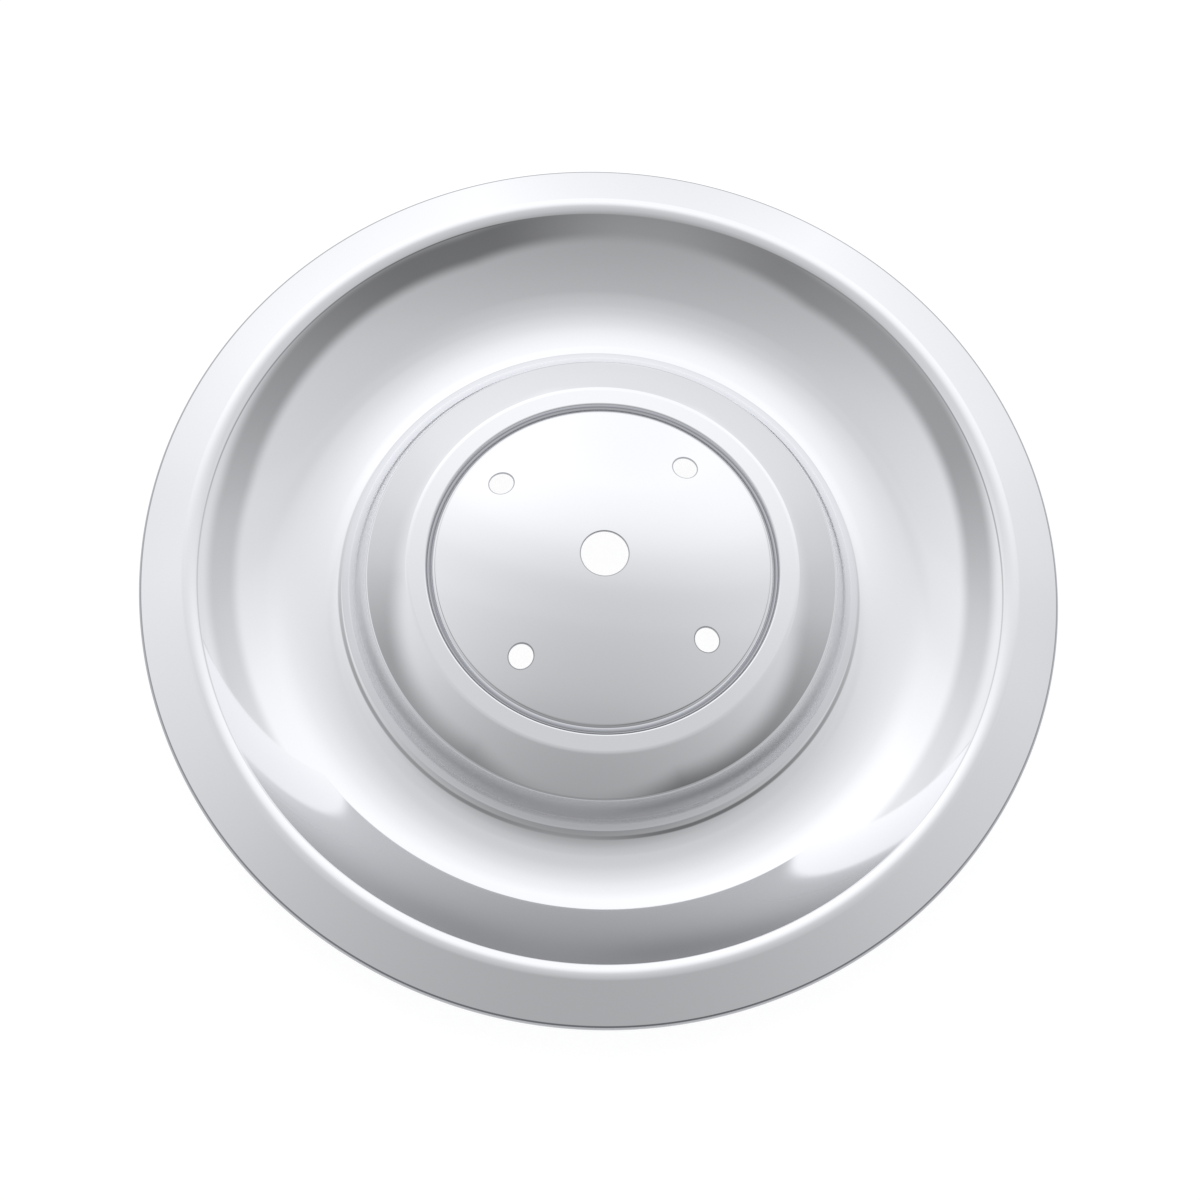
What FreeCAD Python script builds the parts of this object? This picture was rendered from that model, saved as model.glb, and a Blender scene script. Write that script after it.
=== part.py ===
import FreeCAD, Part
import math
import os
import Sketcher

# Chrome dished hubcap, one stamped sheet. Millimetres, axis of revolution on +Z, polished face up.
# The face line of the section is one sketch; the sheet is that line thickened towards the back,
# turned a full revolution, then pierced by the centre hole and the four holes round it.

doc = FreeCAD.newDocument("hubcap")

# Driving dimensions
sheet = doc.addObject("Spreadsheet::Sheet", "Sizes")
sizes = [
    ("sheet_gauge", 1.0),
    ("dome_apex_z", 52.4),
    ("dome_curve", 174.0),
    ("plate_edge_x", 73.0),
    ("groove_x", 75.2),
    ("groove_z", 32.8),
    ("ledge_in_x", 76.5),
    ("ledge_in_z", 36.0),
    ("ledge_out_x", 84.3),
    ("ledge_out_z", 35.1),
    ("boss_base_x", 102.1),
    ("boss_base_z", 24.4),
    ("flank_curve", 300.0),
    ("floor_in_x", 109.45),
    ("floor_low_step", 18.95),
    ("floor_curve", 60.0),
    ("floor_out_x", 141.7),
    ("wall_curve", 140.0),
    ("ridge_x", 177.6),
    ("ridge_z", 26.6),
    ("rim_x", 200.0),
    ("rim_z", 15.2),
    ("lip_z", 11.2),
    ("lip_end_x", 197.0),
    ("plate_edge_round", 4.0),
    ("groove_round", 0.8),
    ("ledge_in_round", 0.9),
    ("ledge_out_round", 5.0),
    ("boss_base_round", 2.5),
    ("floor_in_round", 17.0),
    ("floor_out_round", 30.0),
    ("ridge_round", 7.0),
    ("rim_round", 2.0),
    ("lip_round", 2.0),
    ("bore_dia", 20.4),
    ("fix_hole_dia", 10.5),
    ("fix_circle_dia", 113.0),
    ("fix_hole_angle", 45.0),
]
size = {}
row = 1
for alias, value in sizes:
    sheet.set("A%d" % row, alias)
    sheet.set("B%d" % row, repr(value))
    sheet.setAlias("B%d" % row, alias)
    size[alias] = value
    row += 1
doc.recompute()

# Theoretical corners of the face line, from the plate edge out to the turned lip
dome_centre_z = size["dome_apex_z"] - size["dome_curve"]
plate_edge_z = dome_centre_z + math.sqrt(size["dome_curve"] ** 2 - size["plate_edge_x"] ** 2)
floor_low_x = size["floor_in_x"] + size["floor_low_step"]
floor_centre_z = size["sheet_gauge"] + size["floor_curve"]
floor_in_z = floor_centre_z - math.sqrt(size["floor_curve"] ** 2 - size["floor_low_step"] ** 2)
floor_out_z = floor_centre_z - math.sqrt(size["floor_curve"] ** 2 - (size["floor_out_x"] - floor_low_x) ** 2)
corners = [
    ("plate_edge", size["plate_edge_x"], plate_edge_z),
    ("groove", size["groove_x"], size["groove_z"]),
    ("ledge_in", size["ledge_in_x"], size["ledge_in_z"]),
    ("ledge_out", size["ledge_out_x"], size["ledge_out_z"]),
    ("boss_base", size["boss_base_x"], size["boss_base_z"]),
    ("floor_in", size["floor_in_x"], floor_in_z),
    ("floor_out", size["floor_out_x"], floor_out_z),
    ("ridge", size["ridge_x"], size["ridge_z"]),
    ("rim", size["rim_x"], size["rim_z"]),
    ("lip", size["rim_x"], size["lip_z"]),
]
# Runs between corners: straight, or a shallow arc; +1 bulges to the face side, -1 to the back
bulge = {"boss_base": ("flank_curve", 1), "floor_out": ("floor_curve", -1), "ridge": ("wall_curve", -1)}
points = [(x, z) for _, x, z in corners]
points.append((size["lip_end_x"], size["lip_z"]))
before = (points[0][0] - 5.0, dome_centre_z + math.sqrt(size["dome_curve"] ** 2 - (points[0][0] - 5.0) ** 2))


def unit(a, b):
    length = math.hypot(b[0] - a[0], b[1] - a[1])
    return ((b[0] - a[0]) / length, (b[1] - a[1]) / length)


def arc_between(a, b, centre, clockwise):
    # Sketch arcs run counter-clockwise, so a clockwise run is drawn from its far end
    radius = math.hypot(a[0] - centre[0], a[1] - centre[1])
    circle = Part.Circle(FreeCAD.Vector(centre[0], centre[1], 0), FreeCAD.Vector(0, 0, 1), radius)
    start = math.atan2(a[1] - centre[1], a[0] - centre[0])
    end = math.atan2(b[1] - centre[1], b[0] - centre[0])
    if clockwise:
        start, end = end, start
    return Part.ArcOfCircle(circle, start, end)


# First placing of the rounds, taken from the straight chords; the constraints settle the rest
tangents = []
rounds = []
for i in range(len(corners)):
    name = corners[i][0]
    prior = before if i == 0 else points[i - 1]
    u = unit(prior, points[i])
    v = unit(points[i], points[i + 1])
    turn = math.atan2(u[0] * v[1] - u[1] * v[0], u[0] * v[0] + u[1] * v[1])
    radius = size[name + "_round"]
    back = radius * math.tan(abs(turn) / 2.0)
    a = (points[i][0] - u[0] * back, points[i][1] - u[1] * back)
    b = (points[i][0] + v[0] * back, points[i][1] + v[1] * back)
    side = 1.0 if turn > 0 else -1.0
    centre = (a[0] - u[1] * radius * side, a[1] + u[0] * radius * side)
    tangents.append((a, b))
    rounds.append((centre, turn < 0))

sketch = doc.addObject("Sketcher::SketchObject", "FaceLine")
sketch.Placement = FreeCAD.Placement(FreeCAD.Vector(0, 0, 0), FreeCAD.Rotation(FreeCAD.Vector(1, 0, 0), 90))

# Geometry in order from the apex outwards; each entry keeps its start and end point numbers
chain = []
apex = (0.0, size["dome_apex_z"])
g = sketch.addGeometry(arc_between(apex, tangents[0][0], (0.0, dome_centre_z), True), False)
dome = g
chain.append((g, 2, 1))
runs = {}
round_ids = {}
for i in range(len(corners)):
    name = corners[i][0]
    centre, clockwise = rounds[i]
    g = sketch.addGeometry(arc_between(tangents[i][0], tangents[i][1], centre, clockwise), False)
    round_ids[name] = g
    chain.append((g, 2, 1) if clockwise else (g, 1, 2))
    a = tangents[i][1]
    b = tangents[i + 1][0] if i + 1 < len(corners) else points[-1]
    following = corners[i + 1][0] if i + 1 < len(corners) else "lip_end"
    if following in bulge:
        alias, way = bulge[following]
        radius = size[alias]
        u = unit(a, b)
        half = math.hypot(b[0] - a[0], b[1] - a[1]) / 2.0
        rise = math.sqrt(radius ** 2 - half ** 2)
        mid = ((a[0] + b[0]) / 2.0, (a[1] + b[1]) / 2.0)
        centre = (mid[0] + u[1] * rise * way, mid[1] - u[0] * rise * way)
        g = sketch.addGeometry(arc_between(a, b, centre, way > 0), False)
        chain.append((g, 2, 1) if way > 0 else (g, 1, 2))
    else:
        start = FreeCAD.Vector(a[0], a[1], 0)
        end = FreeCAD.Vector(b[0], b[1], 0)
        g = sketch.addGeometry(Part.LineSegment(start, end), False)
        chain.append((g, 1, 2))
    runs[following] = g

# Tangent joints all along the chain
for first, second in zip(chain[:-1], chain[1:]):
    sketch.addConstraint(Sketcher.Constraint("Tangent", first[0], first[2], second[0], second[1]))


def bind(kind, name, formula, *where):
    index = sketch.addConstraint(Sketcher.Constraint(kind, *where))
    sketch.renameConstraint(index, name)
    sketch.setExpression("Constraints." + name, formula)


# Dome: centre and apex on the axis
sketch.addConstraint(Sketcher.Constraint("PointOnObject", dome, 3, -2))
sketch.addConstraint(Sketcher.Constraint("PointOnObject", dome, 2, -2))
bind("DistanceY", "dome_apex", "Sizes.dome_apex_z", -1, 1, dome, 2, size["dome_apex_z"])
bind("Radius", "dome_radius", "Sizes.dome_curve", dome, size["dome_curve"])

# Corner points carry the sheet's values; the runs pass through them
marks = []
for i in range(len(corners)):
    name, x, z = corners[i]
    mark = sketch.addGeometry(Part.Point(FreeCAD.Vector(x, z, 0)), True)
    marks.append(mark)
    alias = "rim_x" if name == "lip" else name + "_x"
    bind("DistanceX", name + "_across", "Sizes." + alias, -1, 1, mark, 1, x)
    if name == "plate_edge":
        sketch.addConstraint(Sketcher.Constraint("PointOnObject", mark, 1, dome))
    elif name not in ("floor_in", "floor_out"):
        bind("DistanceY", name + "_up", "Sizes." + name + "_z", -1, 1, mark, 1, z)
    bind("Radius", name + "_radius", "Sizes." + name + "_round", round_ids[name], size[name + "_round"])
for i in range(1, len(corners)):
    run = runs[corners[i][0]]
    sketch.addConstraint(Sketcher.Constraint("PointOnObject", marks[i - 1], 1, run))
    sketch.addConstraint(Sketcher.Constraint("PointOnObject", marks[i], 1, run))
for name in bulge:
    alias = bulge[name][0]
    bind("Radius", alias + "_radius", "Sizes." + alias, runs[name], size[alias])

# Dish floor: lowest at its own radius, its back on the level the cap rests on
floor = runs["floor_out"]
bind("DistanceX", "floor_low_across", "Sizes.floor_in_x + Sizes.floor_low_step", -1, 1, floor, 3, floor_low_x)
bind("DistanceY", "floor_low_up", "Sizes.sheet_gauge + Sizes.floor_curve", -1, 1, floor, 3, floor_centre_z)

# Turned lip: level return that ends at its own radius
sketch.addConstraint(Sketcher.Constraint("PointOnObject", marks[-1], 1, runs["lip_end"]))
sketch.addConstraint(Sketcher.Constraint("Horizontal", runs["lip_end"]))
bind("DistanceX", "lip_end_across", "Sizes.lip_end_x", -1, 1, runs["lip_end"], 2, size["lip_end_x"])
doc.recompute()

# Sheet section, thickened to the back of the face line
section = doc.addObject("Part::Offset2D", "Section")
section.Source = sketch
section.Mode = "Skin"
section.Join = "Intersection"
section.Fill = True
section.setExpression("Value", "Sizes.sheet_gauge")

# Full turn about the axis
turned = doc.addObject("Part::Revolution", "TurnedSheet")
turned.Source = section
turned.Axis = FreeCAD.Vector(0, 0, 1)
turned.Base = FreeCAD.Vector(0, 0, 0)
turned.Angle = 360.0
turned.Solid = True

# Piercings: the centre hole and four holes on a circle, punched along the axis
punches = []
bore = doc.addObject("Part::Cylinder", "CentrePunch")
bore.setExpression("Radius", "Sizes.bore_dia / 2")
bore.setExpression("Height", "Sizes.dome_apex_z * 2")
punches.append(bore)
for i in range(4):
    punch = doc.addObject("Part::Cylinder", "HolePunch%d" % (i + 1))
    punch.setExpression("Radius", "Sizes.fix_hole_dia / 2")
    punch.setExpression("Height", "Sizes.dome_apex_z * 2")
    angle = "(Sizes.fix_hole_angle + %d)" % (90 * i)
    punch.setExpression("Placement.Base.x", "Sizes.fix_circle_dia / 2 * cos(%s * 1 deg)" % angle)
    punch.setExpression("Placement.Base.y", "Sizes.fix_circle_dia / 2 * sin(%s * 1 deg)" % angle)
    punches.append(punch)
tools = doc.addObject("Part::MultiFuse", "Punches")
tools.Shapes = punches
cap = doc.addObject("Part::Cut", "hubcap_disc")
cap.Base = turned
cap.Tool = tools
cap.Label = "hubcap_disc"
doc.recompute()

# Every object must have come out whole before the sheet is written
for item in doc.Objects:
    if "Invalid" in item.State or "Error" in item.State:
        raise RuntimeError("object failed: " + item.Name)
if not sketch.FullyConstrained:
    raise RuntimeError("face line is not fully constrained")
shape = cap.Shape
if shape.isNull() or not shape.isValid() or len(shape.Solids) != 1:
    raise RuntimeError("hubcap_disc is not one valid solid")
box = shape.optimalBoundingBox(True, False)
print("volume mm3", round(shape.Volume, 1), "box", box)
os.makedirs("parts", exist_ok=True)
shape.exportStep("parts/" + cap.Label + ".step")
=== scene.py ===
import math

import bpy
import numpy as np
from mathutils import Matrix, Vector


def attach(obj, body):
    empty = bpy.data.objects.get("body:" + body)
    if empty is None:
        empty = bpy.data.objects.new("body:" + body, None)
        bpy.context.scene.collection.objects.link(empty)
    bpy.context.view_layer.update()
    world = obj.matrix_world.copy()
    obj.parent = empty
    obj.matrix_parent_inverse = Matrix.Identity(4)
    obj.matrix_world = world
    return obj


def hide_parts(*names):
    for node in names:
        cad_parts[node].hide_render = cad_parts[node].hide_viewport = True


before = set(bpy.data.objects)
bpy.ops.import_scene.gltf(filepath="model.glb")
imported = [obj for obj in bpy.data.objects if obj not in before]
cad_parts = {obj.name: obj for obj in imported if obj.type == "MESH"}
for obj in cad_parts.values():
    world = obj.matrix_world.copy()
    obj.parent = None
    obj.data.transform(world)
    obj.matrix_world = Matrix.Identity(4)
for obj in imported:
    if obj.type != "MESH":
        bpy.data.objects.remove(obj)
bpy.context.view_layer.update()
scene = bpy.context.scene
scene.view_settings.view_transform = "Standard"
mm = 0.001

# Hubcap: one disc of thin sheet, drawn in a press to a domed plate on a boss, a dish and a ridge,
# its edge turned in, pierced by a centre hole and four holes round it, then plated all over.
# Its sizes are in millimetres.
gauge = 1.0
edge_round = 0.35
bore_radius = 10.2
hole_radius = 5.25
hole_circle = 113.0
hole_count = 4
first_hole_angle = math.radians(45)
rim_radius = 200.0
dome_curve = 174.0
dome_centre_z = 52.4 - dome_curve
floor_curve = 60.0
floor_low_x = 128.4
floor_centre_z = gauge + floor_curve

# Chrome finish: bright nickel-chrome plate over polished steel, a clean mirror with the faint
# unevenness that buffing leaves. Its colour is darkened as painted shade on the inner wall of the narrow
# groove, and as painted dark lines along the edges of the bore and holes and at the outermost edge of the
# rim.
chrome = bpy.data.materials.new("chrome_plate")
chrome.use_nodes = True
chrome_tree = chrome.node_tree
chrome_tree.nodes.clear()


def calculate(tree, operation, a, b=None):
    node = tree.nodes.new("ShaderNodeMath")
    node.operation = operation
    for socket, value in ((node.inputs[0], a), (node.inputs[1], b)):
        if isinstance(value, (int, float)):
            socket.default_value = value
        elif value is not None:
            tree.links.new(value, socket)
    return node.outputs[0]


def vector_of(tree, operation, a, b=None):
    node = tree.nodes.new("ShaderNodeVectorMath")
    node.operation = operation
    for socket, value in ((node.inputs[0], a), (node.inputs[1], b)):
        if isinstance(value, (tuple, Vector)):
            socket.default_value = value
        elif value is not None:
            tree.links.new(value, socket)
    return node.outputs["Value" if operation in ("LENGTH", "DISTANCE", "DOT_PRODUCT") else "Vector"]


def fade_of(tree, value, low, high, to_low=0.0, to_high=1.0, kind="SMOOTHSTEP"):
    fade = tree.nodes.new("ShaderNodeMapRange")
    fade.interpolation_type = kind
    fade.inputs["From Min"].default_value = low
    fade.inputs["From Max"].default_value = high
    for label, target in (("To Min", to_low), ("To Max", to_high)):
        if isinstance(target, float):
            fade.inputs[label].default_value = target
        else:
            tree.links.new(target, fade.inputs[label])
    tree.links.new(value, fade.inputs["Value"])
    return fade.outputs["Result"]


bright_chrome = (0.885, 0.888, 0.905, 1.0)
# darkened chrome colour: painted shade in the groove and painted dark lines at the bore, hole and rim
# edges
shaded_chrome = (0.42, 0.425, 0.45, 1.0)
mirror_roughness = (0.02, 0.045)
satin_roughness = 0.28
plate = chrome_tree.nodes.new("ShaderNodeBsdfPrincipled")
plate.inputs["Metallic"].default_value = 1.0
output = chrome_tree.nodes.new("ShaderNodeOutputMaterial")
chrome_tree.links.new(plate.outputs["BSDF"], output.inputs["Surface"])
place = chrome_tree.nodes.new("ShaderNodeTexCoord").outputs["Object"]
flat_place = vector_of(chrome_tree, "MULTIPLY", place, (1 / mm, 1 / mm, 0.0))
from_axis = vector_of(chrome_tree, "LENGTH", flat_place)
hole_place = (
    hole_circle / 2 * math.cos(first_hole_angle),
    hole_circle / 2 * math.sin(first_hole_angle),
    0.0,
)
from_hole = vector_of(chrome_tree, "DISTANCE", vector_of(chrome_tree, "ABSOLUTE", flat_place), hole_place)
edge_width = 0.6
# Bands of painted shade, measured from the axis or from a hole: where each starts to rise, is full,
# starts to fall and ends, for the groove's inner wall, the edge of the bore, the rim and the holes
painted_shade_bands = [
    (from_axis, 73.0, 74.2, 75.0, 75.6),
    (from_axis, bore_radius - 1.0, bore_radius, bore_radius + 0.5 * edge_width, bore_radius + edge_width),
    (from_axis, rim_radius - 2 * edge_width, rim_radius - 1.5 * edge_width, rim_radius, rim_radius + 1.0),
    (from_hole, hole_radius - 1.0, hole_radius, hole_radius + 0.5 * edge_width, hole_radius + edge_width),
]
painted_shade_amount = 0.0
for distance, rise_from, rise_to, fall_from, fall_to in painted_shade_bands:
    rise = fade_of(chrome_tree, distance, rise_from, rise_to)
    band = fade_of(chrome_tree, distance, fall_from, fall_to, rise, 0.0)
    painted_shade_amount = calculate(chrome_tree, "MAXIMUM", band, painted_shade_amount)
# darkens the chrome colour within the bands: painted shade in the groove, painted dark lines along the
# edges
painted_shade_mix = chrome_tree.nodes.new("ShaderNodeMix")
painted_shade_mix.data_type = "RGBA"
painted_shade_mix.inputs["A"].default_value = bright_chrome
painted_shade_mix.inputs["B"].default_value = shaded_chrome
chrome_tree.links.new(painted_shade_amount, painted_shade_mix.inputs["Factor"])
chrome_tree.links.new(painted_shade_mix.outputs["Result"], plate.inputs["Base Color"])
cloud = chrome_tree.nodes.new("ShaderNodeTexNoise")
cloud.inputs["Scale"].default_value = 24.0
cloud.inputs["Detail"].default_value = 3.0
chrome_tree.links.new(place, cloud.inputs["Vector"])
gloss = fade_of(chrome_tree, cloud.outputs["Fac"], 0.3, 0.7, *mirror_roughness, "LINEAR")
# The steep wall at the foot of the boss is stretched most in the press and stays satin
foot_rise = fade_of(chrome_tree, from_axis, 101.4, 103.0, 0.0, satin_roughness)
foot_satin = fade_of(chrome_tree, from_axis, 106.5, 110.0, foot_rise, 0.0)
finish_roughness = calculate(chrome_tree, "MAXIMUM", gloss, foot_satin)
chrome_tree.links.new(finish_roughness, plate.inputs["Roughness"])
swell = chrome_tree.nodes.new("ShaderNodeTexNoise")
swell.inputs["Scale"].default_value = 14.0
swell.inputs["Detail"].default_value = 1.0
chrome_tree.links.new(place, swell.inputs["Vector"])
uneven = chrome_tree.nodes.new("ShaderNodeBump")
uneven.inputs["Strength"].default_value = 0.12
uneven.inputs["Distance"].default_value = 0.0004
chrome_tree.links.new(swell.outputs["Fac"], uneven.inputs["Height"])
chrome_tree.links.new(uneven.outputs["Normal"], plate.inputs["Normal"])


# Section of the sheet: its points are complex numbers, distance from the axis and then height
def on_dome_at(x):
    return complex(x, dome_centre_z + math.sqrt(dome_curve ** 2 - x ** 2))


def on_floor_at(x):
    return complex(x, floor_centre_z - math.sqrt(floor_curve ** 2 - (x - floor_low_x) ** 2))


# Each corner of the face line with the round there, and the curve of the run that leads to it,
# which bulges to the face where it is positive and to the back where it is negative: edge of the
# bore, plate edge, groove, inside and outside of the ledge, base of the boss flank, inside and
# outside of the dish, ridge, rim and turned lip
corners = [
    (on_dome_at(bore_radius), edge_round, None),
    (on_dome_at(73.0), 4.0, dome_curve),
    (75.2 + 32.8j, 0.8, None),
    (76.5 + 36.0j, 0.9, None),
    (84.3 + 35.1j, 5.0, None),
    (102.1 + 24.4j, 2.5, 300.0),
    (on_floor_at(109.45), 17.0, None),
    (on_floor_at(141.7), 30.0, -floor_curve),
    (177.6 + 26.6j, 7.0, -140.0),
    (complex(rim_radius, 15.2), 2.0, None),
    (complex(rim_radius, 11.2), 2.0, None),
]
lip_end = 197.0 + 11.2j


def run_between(start, end, curve):
    # Start, end, centre of the arc if it is one, and its sense: 1 turns left, -1 turns right
    if curve is None:
        return start, end, None, 0
    chord = end - start
    sense = -1 if curve > 0 else 1
    rise = math.sqrt(curve ** 2 - abs(chord) ** 2 / 4)
    return start, end, (start + end) / 2 + sense * rise * 1j * chord / abs(chord), sense


def left_of(run, spot):
    # How far a spot lies to the left of a run, and the way in which that grows
    start, end, centre, sense = run
    if centre is None:
        way = 1j * (end - start) / abs(end - start)
        return ((spot - start) * way.conjugate()).real, way
    out = spot - centre
    return sense * (abs(start - centre) - abs(out)), -sense * out / abs(out)


closing_steps = 12


def round_between(before, after, corner, radius):
    # The centre of a round lies one radius off both runs, on the inner side of the turn
    way_before = left_of(before, corner)[1]
    way_after = left_of(after, corner)[1]
    sense = 1 if (way_before.conjugate() * way_after).imag > 0 else -1
    centre = corner + sense * radius * (way_before + way_after) / 2
    for _ in range(closing_steps):
        off_before, way_before = left_of(before, centre)
        off_after, way_after = left_of(after, centre)
        miss_before = sense * radius - off_before
        miss_after = sense * radius - off_after
        spread = (way_before.conjugate() * way_after).imag
        centre += 1j * (way_before * miss_after - way_after * miss_before) / spread
    return centre - sense * radius * way_before, centre - sense * radius * way_after, centre, sense


straight_step = 6.0
arc_step = 3.2
turn_step = math.radians(9)


def stations_along(run):
    # Points of a run, close enough for a smooth mirror, each with its normal on the face side
    start, end, centre, sense = run
    if centre is None:
        steps = max(1, math.ceil(abs(end - start) / straight_step))
        normal = 1j * (end - start) / abs(end - start)
        return [(start + (end - start) * i / steps, normal) for i in range(steps + 1)]
    radius = abs(start - centre)
    first = (start - centre) / radius
    turn = math.remainder(np.angle(end - centre) - np.angle(start - centre), 2 * math.pi)
    steps = max(2, math.ceil(abs(turn) / turn_step), math.ceil(abs(turn) * radius / arc_step))
    ways = [first * np.exp(1j * turn * i / steps) for i in range(steps + 1)]
    return [(centre + radius * way, -sense * way) for way in ways]


runs = [run_between(corners[0][0] - gauge * 1j, corners[0][0], None)]
for here, there in zip(corners[:-1], corners[1:]):
    runs.append(run_between(here[0], there[0], there[2]))
runs.append(run_between(corners[-1][0], lip_end, None))
rounds = []
for before, after, (corner, radius, _) in zip(runs[:-1], runs[1:], corners):
    rounds.append(round_between(before, after, corner, radius))
bore_edge = stations_along(rounds[0])
face = []
for i, edge in enumerate(rounds):
    run_end = rounds[i + 1][0] if i + 1 < len(rounds) else lip_end
    after = stations_along((edge[1], run_end) + runs[i + 1][2:])
    face += after if i == 0 else stations_along(edge)[1:] + after[1:]
back = [(spot - gauge * normal, -normal) for spot, normal in face]
bore_back_z = dome_centre_z + math.sqrt((dome_curve - gauge) ** 2 - bore_radius ** 2)
back.insert(0, (complex(bore_radius, bore_back_z), back[0][1]))
section = bore_edge[:-1] + face + back[::-1]

line = bpy.data.meshes.new("hubcap_section")
line_spots = [(spot.real * mm, 0.0, spot.imag * mm) for spot, normal in section]
line.from_pydata(line_spots, [(i, i + 1) for i in range(len(section) - 1)], [])
hubcap = bpy.data.objects.new("hubcap", line)
scene.collection.objects.link(hubcap)

# Rule of the shape: the section turned about the axis, then punched by a ring of round holes
# whose upper edges are broken by a shallow flare, square to the dome
tree = bpy.data.node_groups.new("turn_and_punch", "GeometryNodeTree")
tree.interface.new_socket("Geometry", in_out="INPUT", socket_type="NodeSocketGeometry")
for label, kind in (
    ("Section points", "NodeSocketInt"),
    ("Steps round", "NodeSocketInt"),
    ("Hole count", "NodeSocketInt"),
    ("Hole radius", "NodeSocketFloat"),
    ("Hole circle radius", "NodeSocketFloat"),
    ("First hole angle", "NodeSocketFloat"),
    ("Plate height", "NodeSocketFloat"),
    ("Dome centre height", "NodeSocketFloat"),
    ("Edge round", "NodeSocketFloat"),
    ("Finish", "NodeSocketMaterial"),
):
    tree.interface.new_socket(label, in_out="INPUT", socket_type=kind)
tree.interface.new_socket("Geometry", in_out="OUTPUT", socket_type="NodeSocketGeometry")
ask = tree.nodes.new("NodeGroupInput").outputs
give = tree.nodes.new("NodeGroupOutput")


def upright(height):
    node = tree.nodes.new("ShaderNodeCombineXYZ")
    tree.links.new(height, node.inputs["Z"])
    return node.outputs[0]


def joined(kind, **wires):
    # A node of the rule with the named sockets wired up
    node = tree.nodes.new(kind)
    for label, wire in wires.items():
        tree.links.new(wire, node.inputs[label.replace("_", " ")])
    return node


columns = calculate(tree, "ADD", ask["Steps round"], 1.0)
grid = tree.nodes.new("GeometryNodeMeshGrid")
tree.links.new(calculate(tree, "ADD", ask["Section points"], 1.0), grid.inputs["Vertices X"])
tree.links.new(columns, grid.inputs["Vertices Y"])
index = tree.nodes.new("GeometryNodeInputIndex").outputs[0]
inside_cell = calculate(tree, "ADD", index, 0.25)
which_row = calculate(tree, "FLOOR", calculate(tree, "DIVIDE", inside_cell, columns))
on_section = calculate(tree, "MODULO", which_row, ask["Section points"])
which_column = calculate(tree, "SUBTRACT", index, calculate(tree, "MULTIPLY", which_row, columns))
share_round = calculate(tree, "DIVIDE", which_column, ask["Steps round"])
where = tree.nodes.new("GeometryNodeInputPosition").outputs[0]
sample = joined("GeometryNodeSampleIndex", Geometry=ask["Geometry"], Index=on_section)
sample.data_type = "FLOAT_VECTOR"
tree.links.new(where, sample.inputs["Value"])
swing = tree.nodes.new("ShaderNodeVectorRotate")
swing.rotation_type = "Z_AXIS"
tree.links.new(sample.outputs["Value"], swing.inputs["Vector"])
tree.links.new(calculate(tree, "MULTIPLY", share_round, 2 * math.pi), swing.inputs["Angle"])
lathe = joined("GeometryNodeSetPosition", Geometry=grid.outputs["Mesh"], Position=swing.outputs["Vector"])
weld = joined("GeometryNodeMergeByDistance", Geometry=lathe.outputs["Geometry"])
weld.inputs["Distance"].default_value = 0.002 * mm
ring = joined("GeometryNodeMeshCircle", Vertices=ask["Hole count"], Radius=ask["Hole circle radius"])
spread_ring = joined(
    "GeometryNodeTransform",
    Geometry=ring.outputs["Mesh"],
    Rotation=upright(ask["First hole angle"]),
    Translation=upright(ask["Plate height"]),
).outputs["Geometry"]
punch = joined("GeometryNodeMeshCylinder", Radius=ask["Hole radius"])
hole_sides = 96
punch.inputs["Vertices"].default_value = hole_sides
punch.inputs["Depth"].default_value = 30.0 * mm
punches = joined("GeometryNodeInstanceOnPoints", Points=spread_ring, Instance=punch.outputs["Mesh"])
edge_depth = calculate(tree, "MULTIPLY", ask["Edge round"], 1.25)
flare_in = calculate(tree, "MULTIPLY", ask["Edge round"], 0.25)
flare_out = calculate(tree, "MULTIPLY", ask["Edge round"], 2.25)
flare = joined("GeometryNodeMeshCone", Depth=calculate(tree, "MULTIPLY", edge_depth, 2.0))
flare.inputs["Vertices"].default_value = hole_sides
tree.links.new(calculate(tree, "SUBTRACT", ask["Hole radius"], flare_in), flare.inputs["Radius Bottom"])
tree.links.new(calculate(tree, "ADD", ask["Hole radius"], flare_out), flare.inputs["Radius Top"])
sunk_flare = joined(
    "GeometryNodeTransform",
    Geometry=flare.outputs["Mesh"],
    Translation=upright(calculate(tree, "MULTIPLY", edge_depth, -1.0)),
)
stand = tree.nodes.new("FunctionNodeAxesToRotation")
stand.primary_axis = "Z"
stand.secondary_axis = "X"
off_dome_centre = vector_of(tree, "SUBTRACT", where, upright(ask["Dome centre height"]))
tree.links.new(off_dome_centre, stand.inputs[0])
tree.links.new(vector_of(tree, "MULTIPLY", where, (1.0, 1.0, 0.0)), stand.inputs[1])
flares = joined(
    "GeometryNodeInstanceOnPoints",
    Points=spread_ring,
    Instance=sunk_flare.outputs["Geometry"],
    Rotation=stand.outputs[0],
)
# An upright hole meets the sloping dome in an ellipse, so the flares are stretched along the slope
hole_slope = math.asin(hole_circle / 2 / dome_curve)
flares.inputs["Scale"].default_value = (1 / math.cos(hole_slope), 1.0, 1.0)
pierce = joined("GeometryNodeMeshBoolean", Mesh_1=weld.outputs["Geometry"])
pierce.operation = "DIFFERENCE"
pierce.solver = "EXACT"
for tools in (punches, flares):
    solid_tools = joined("GeometryNodeRealizeInstances", Geometry=tools.outputs["Instances"])
    tree.links.new(solid_tools.outputs["Geometry"], pierce.inputs["Mesh 2"])
whole = joined("GeometryNodeRealizeInstances", Geometry=pierce.outputs["Mesh"])
coat = joined("GeometryNodeSetMaterial", Geometry=whole.outputs["Geometry"], Material=ask["Finish"])
tree.links.new(coat.outputs["Geometry"], give.inputs["Geometry"])

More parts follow.
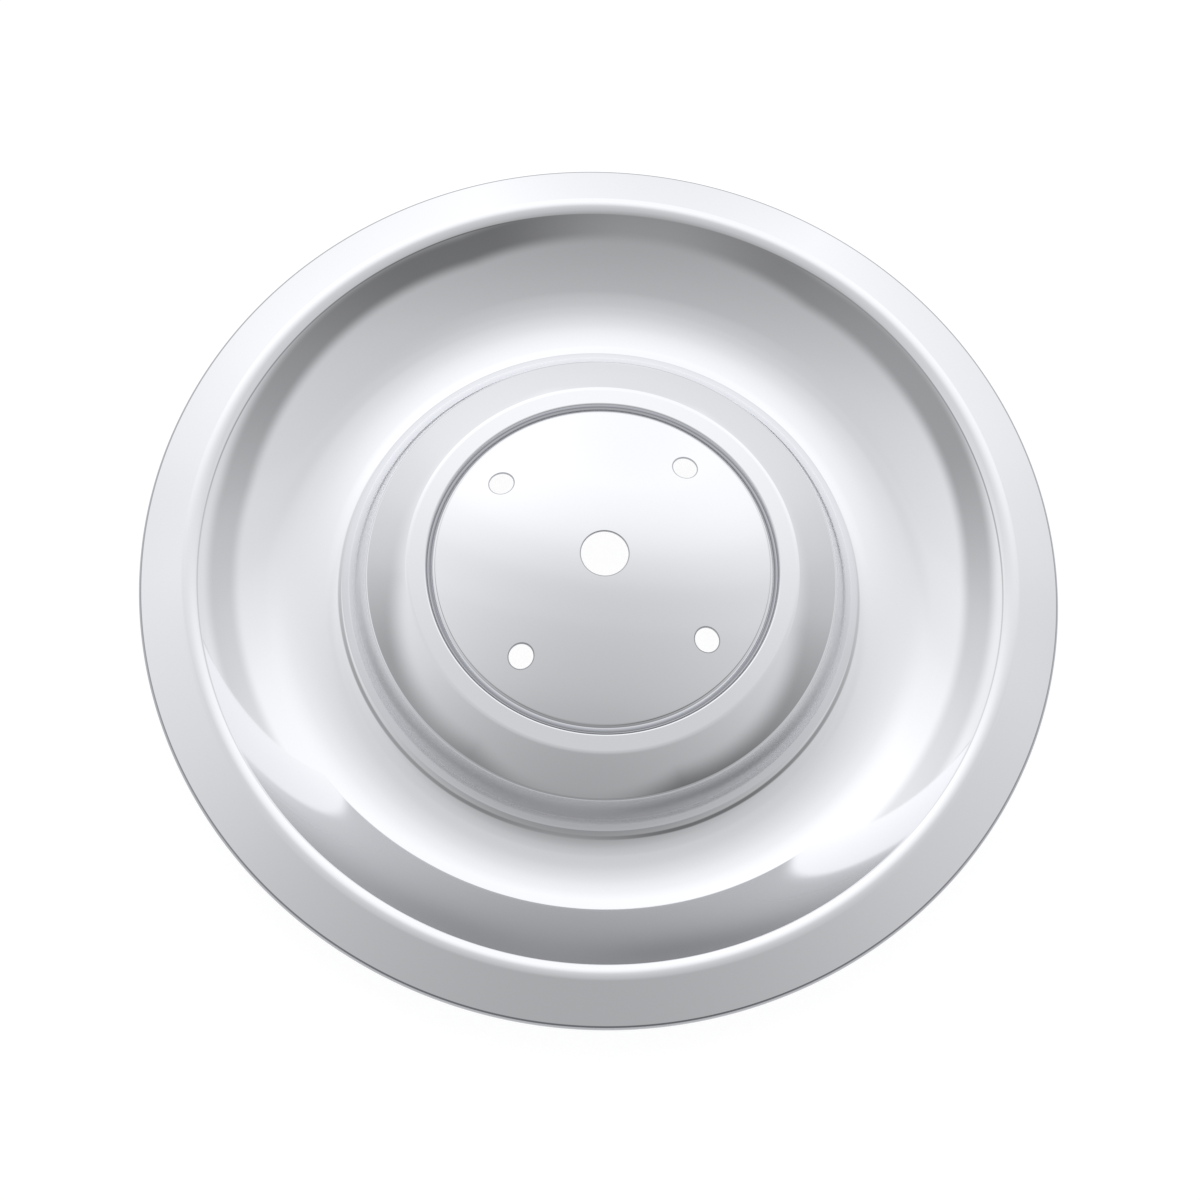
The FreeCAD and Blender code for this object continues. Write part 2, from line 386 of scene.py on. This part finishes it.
press = hubcap.modifiers.new("turn_and_punch", "NODES")
press.node_group = tree
settings = {
    "Section points": len(section),
    "Steps round": 360,
    "Hole count": hole_count,
    "Hole radius": hole_radius * mm,
    "Hole circle radius": hole_circle / 2 * mm,
    "First hole angle": first_hole_angle,
    "Plate height": on_dome_at(hole_circle / 2).imag * mm,
    "Dome centre height": dome_centre_z * mm,
    "Edge round": edge_round * mm,
    "Finish": chrome,
}
for socket in tree.interface.items_tree:
    if socket.item_type == "SOCKET" and socket.in_out == "INPUT" and socket.name in settings:
        press[socket.identifier] = settings[socket.name]
hubcap.update_tag()
graph = bpy.context.evaluated_depsgraph_get()
sheet = bpy.data.meshes.new_from_object(hubcap.evaluated_get(graph), depsgraph=graph)
hubcap.modifiers.remove(press)
hubcap.data = sheet
sheet.name = "hubcap_sheet"

# Faces outward: the signed volume of the closed sheet has to come out positive
spots = np.empty(len(sheet.vertices) * 3)
sheet.vertices.foreach_get("co", spots)
spots = spots.reshape(-1, 3)
sheet.calc_loop_triangles()
triangles = np.empty(len(sheet.loop_triangles) * 3, dtype=np.int64)
sheet.loop_triangles.foreach_get("vertices", triangles)
a, b, c = (spots[ends] for ends in triangles.reshape(-1, 3).T)
if np.einsum("ij,ij->i", a, np.cross(b, c)).sum() < 0:
    sheet.flip_normals()

# Mirror shading: each corner of a face takes the true normal of the section, and on the plate that
# of the dome; the walls of the holes and the cut edges keep their own
corner_vertex = np.empty(len(sheet.loops), dtype=np.int64)
sheet.loops.foreach_get("vertex_index", corner_vertex)
corner_count = np.empty(len(sheet.polygons), dtype=np.int64)
sheet.polygons.foreach_get("loop_total", corner_count)
face_way = np.empty(len(sheet.polygons) * 3)
sheet.polygons.foreach_get("normal", face_way)
corner_face_way = np.repeat(face_way.reshape(-1, 3), corner_count, axis=0)
at = spots[corner_vertex]
across = np.hypot(at[:, 0], at[:, 1])
outward = at[:, :2] / across[:, None]
known = np.array([spot for spot, normal in section]) * mm
known_ways = np.array([normal for spot, normal in section])
section_spots = np.hypot(spots[:, 0], spots[:, 1]) + 1j * spots[:, 2]
nearest = np.empty(len(spots), dtype=np.int64)
batch = 4000
for i in range(0, len(spots), batch):
    gap = np.abs(section_spots[i:i + batch, None] - known[None, :])
    nearest[i:i + batch] = gap.argmin(axis=1)
ways = known_ways[nearest[corner_vertex]]
normals = np.column_stack((ways.real[:, None] * outward, ways.imag))
dome_way = at - np.array((0.0, 0.0, dome_centre_z * mm))
dome_way /= np.linalg.norm(dome_way, axis=1)[:, None]
dome_way *= np.sign(corner_face_way[:, 2])[:, None]
margin = 0.05
dome_from = (rounds[0][1].real + margin) * mm
dome_to = (rounds[1][0].real - margin) * mm
on_dome = (across > dome_from) & (across < dome_to)
normals[on_dome] = dome_way[on_dome]
like_section = 0.8
own = np.einsum("ij,ij->i", normals, corner_face_way) < like_section
for i in range(hole_count):
    hole_angle = first_hole_angle + 2 * math.pi * i / hole_count
    hole_way = np.array((math.cos(hole_angle), math.sin(hole_angle)))
    to_hole = hole_way * hole_circle / 2 * mm - at[:, :2]
    reach = np.linalg.norm(to_hole, axis=1)
    at_hole = own & (reach < (hole_radius + 2 * edge_round) * mm)
    wall = at_hole & (reach < (hole_radius + edge_round / 2) * mm)
    normals[wall] = np.column_stack((to_hole[wall] / reach[wall, None], np.zeros(wall.sum())))
    upper_edge = at_hole & ~wall
    normals[upper_edge] = dome_way[upper_edge]
    own &= ~at_hole
normals[own] = np.column_stack((-outward[own], np.zeros(own.sum())))
sheet.polygons.foreach_set("use_smooth", np.ones(len(sheet.polygons), dtype=bool))
sheet.normals_split_custom_set(normals.tolist())
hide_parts("hubcap_disc")
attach(hubcap, "root")

# Floor: a plain white paper sweep under the cap, wide enough to fill the picture and what the chrome
# shows of it, bright by itself so that only a faint shadow falls on it
floor_half = 4.0
floor_mesh = bpy.data.meshes.new("floor")
floor_corners = [(x * floor_half, y * floor_half, 0.0) for x, y in ((-1, -1), (1, -1), (1, 1), (-1, 1))]
floor_mesh.from_pydata(floor_corners, [], [(0, 1, 2, 3)])
floor = bpy.data.objects.new("floor", floor_mesh)
floor_gap = 0.2 * mm
floor.location = (0.0, 0.0, -floor_gap)
scene.collection.objects.link(floor)
paper = bpy.data.materials.new("white_sweep")
paper.use_nodes = True
paper_tree = paper.node_tree
paper_tree.nodes.clear()
output = paper_tree.nodes.new("ShaderNodeOutputMaterial")
matt = paper_tree.nodes.new("ShaderNodeBsdfDiffuse")
matt.inputs["Color"].default_value = (0.27, 0.27, 0.273, 1.0)
glow = paper_tree.nodes.new("ShaderNodeEmission")
glow.inputs["Color"].default_value = (1.0, 1.0, 1.0, 1.0)
path = paper_tree.nodes.new("ShaderNodeLightPath").outputs
seen = calculate(paper_tree, "MAXIMUM", path["Is Camera Ray"], path["Is Glossy Ray"])
seen = calculate(paper_tree, "MAXIMUM", seen, path["Is Transmission Ray"])
paper_glow = 0.85
paper_tree.links.new(calculate(paper_tree, "MULTIPLY", seen, paper_glow), glow.inputs["Strength"])
both = paper_tree.nodes.new("ShaderNodeAddShader")
paper_tree.links.new(matt.outputs[0], both.inputs[0])
paper_tree.links.new(glow.outputs[0], both.inputs[1])
paper_tree.links.new(both.outputs[0], output.inputs["Surface"])
floor_mesh.materials.append(paper)

# Camera: long lens from the front, high above the cap, rolled a little as the photo is
photo_width_px = 1200.0
focal_length_px = 4594.0
aim_left_px = 0.3
aim_down_px = 13.0
aim = Vector((0.0, 0.0, 0.0122))
behind = Vector((0.2317, 0.9728, 0.0)).normalized()
tilt_off_axis = math.radians(21.53)
roll = math.radians(7.51)
eye_distance = 2.0
toward_eye = Vector((0.0, 0.0, math.cos(tilt_off_axis))) - behind * math.sin(tilt_off_axis)
look = -toward_eye
level = look.cross(Vector((0.0, 0.0, 1.0))).normalized()
up = level.cross(look)
right = level * math.cos(roll) + up * math.sin(roll)
top = up * math.cos(roll) - level * math.sin(roll)
look = (look * focal_length_px - right * aim_left_px - top * aim_down_px).normalized()
right = look.cross(top).normalized()
top = right.cross(look)
camera_data = bpy.data.cameras.new("camera")
camera_data.sensor_width = 36.0
camera_data.lens = camera_data.sensor_width * focal_length_px / photo_width_px
camera_data.clip_start = 0.05
camera_data.clip_end = 50.0
camera_data.dof.use_dof = False
camera = bpy.data.objects.new("camera", camera_data)
turned_to = Matrix((right, top, -look)).transposed().to_4x4()
turned_to.translation = aim + toward_eye * eye_distance
camera.matrix_world = turned_to
scene.collection.objects.link(camera)
scene.camera = camera

# Studio: a soft white tent, one smooth fade from the bright back sheet over the top to the dim side
# where the camera stands, with a dim strip where its walls end, higher towards the front corners.
# Bearings are degrees from the back, the same to both sides; heights are degrees over the floor.
world = bpy.data.worlds.new("tent")
scene.world = world
world.use_nodes = True
sky_tree = world.node_tree
sky_tree.nodes.clear()
output = sky_tree.nodes.new("ShaderNodeOutputWorld")
sky = sky_tree.nodes.new("ShaderNodeBackground")
sky_tree.links.new(sky.outputs[0], output.inputs["Surface"])
outlook = sky_tree.nodes.new("ShaderNodeTexCoord").outputs["Generated"]
beside = Vector((behind.y, -behind.x, 0.0))
back_sheet_height = math.radians(25)
to_back_sheet = behind * math.cos(back_sheet_height) + Vector((0.0, 0.0, math.sin(back_sheet_height)))
whitest = 1.2
fade_stops = [
    (-1.0, 0.30),
    (-0.5, 0.36),
    (0.0, 0.52),
    (0.4, 0.64),
    (0.6, 0.73),
    (0.75, 0.91),
    (0.92, 1.09),
    (1.0, 1.1),
]
tent = sky_tree.nodes.new("ShaderNodeValToRGB")
tent.color_ramp.interpolation = "CARDINAL"
keys = tent.color_ramp.elements
while len(keys) < len(fade_stops):
    keys.new(0.5)
for key, (toward_sheet, brightness) in zip(keys, fade_stops):
    key.position = (toward_sheet + 1) / 2
    level_of_light = brightness / whitest
    key.color = (level_of_light * 0.988, level_of_light * 0.996, level_of_light * 1.012, 1.0)
along_fade = vector_of(sky_tree, "DOT_PRODUCT", outlook, to_back_sheet)
sky_tree.links.new(fade_of(sky_tree, along_fade, -1.0, 1.0, kind="LINEAR"), tent.inputs["Fac"])


def within_one(value):
    return calculate(sky_tree, "MINIMUM", calculate(sky_tree, "MAXIMUM", value, -1.0), 1.0)


def in_degrees(function, value):
    return calculate(sky_tree, "MULTIPLY", calculate(sky_tree, function, within_one(value)), 180 / math.pi)


upward = within_one(vector_of(sky_tree, "DOT_PRODUCT", outlook, (0.0, 0.0, 1.0)))
backward = vector_of(sky_tree, "DOT_PRODUCT", outlook, behind)
sideways = vector_of(sky_tree, "DOT_PRODUCT", outlook, beside)
level_square = calculate(sky_tree, "SUBTRACT", 1.0, calculate(sky_tree, "MULTIPLY", upward, upward))
level_length = calculate(sky_tree, "SQRT", calculate(sky_tree, "MAXIMUM", level_square, 0.000001))
height = in_degrees("ARCSINE", upward)
bearing = in_degrees("ARCCOSINE", calculate(sky_tree, "DIVIDE", backward, level_length))
strip_to_side = fade_of(sky_tree, bearing, 15.0, 75.0, 5.0, 25.0, "LINEAR")
strip_height = fade_of(sky_tree, bearing, 75.0, 140.0, strip_to_side, 38.0, "LINEAR")
over_strip = calculate(sky_tree, "SUBTRACT", height, strip_height)
to_right = calculate(sky_tree, "DIVIDE", sideways, level_length)
corner_dim = fade_of(sky_tree, to_right, -1.0, 1.0, 0.62, 0.34, "LINEAR")
side_dim = fade_of(sky_tree, bearing, 55.0, 100.0, 0.78, 0.48)
front_dim = fade_of(sky_tree, bearing, 95.0, 130.0, side_dim, corner_dim)
strip_dim = fade_of(sky_tree, bearing, 145.0, 178.0, front_dim, 0.84)
lower_edge = fade_of(sky_tree, over_strip, -9.0, -4.0, 1.0, strip_dim)
strip = fade_of(sky_tree, over_strip, 2.0, 7.0, lower_edge, 1.0)
side_lift = 0.4
sideways_square = calculate(sky_tree, "MULTIPLY", sideways, sideways)
lift = calculate(sky_tree, "ADD", calculate(sky_tree, "MULTIPLY", sideways_square, side_lift), 1.0)
light = fade_of(sky_tree, sideways, -1.0, 1.0, 1.10 * whitest, 0.90 * whitest, "LINEAR")
light = calculate(sky_tree, "MULTIPLY", light, lift)
sky_tree.links.new(tent.outputs["Color"], sky.inputs["Color"])
sky_tree.links.new(calculate(sky_tree, "MULTIPLY", light, strip), sky.inputs["Strength"])
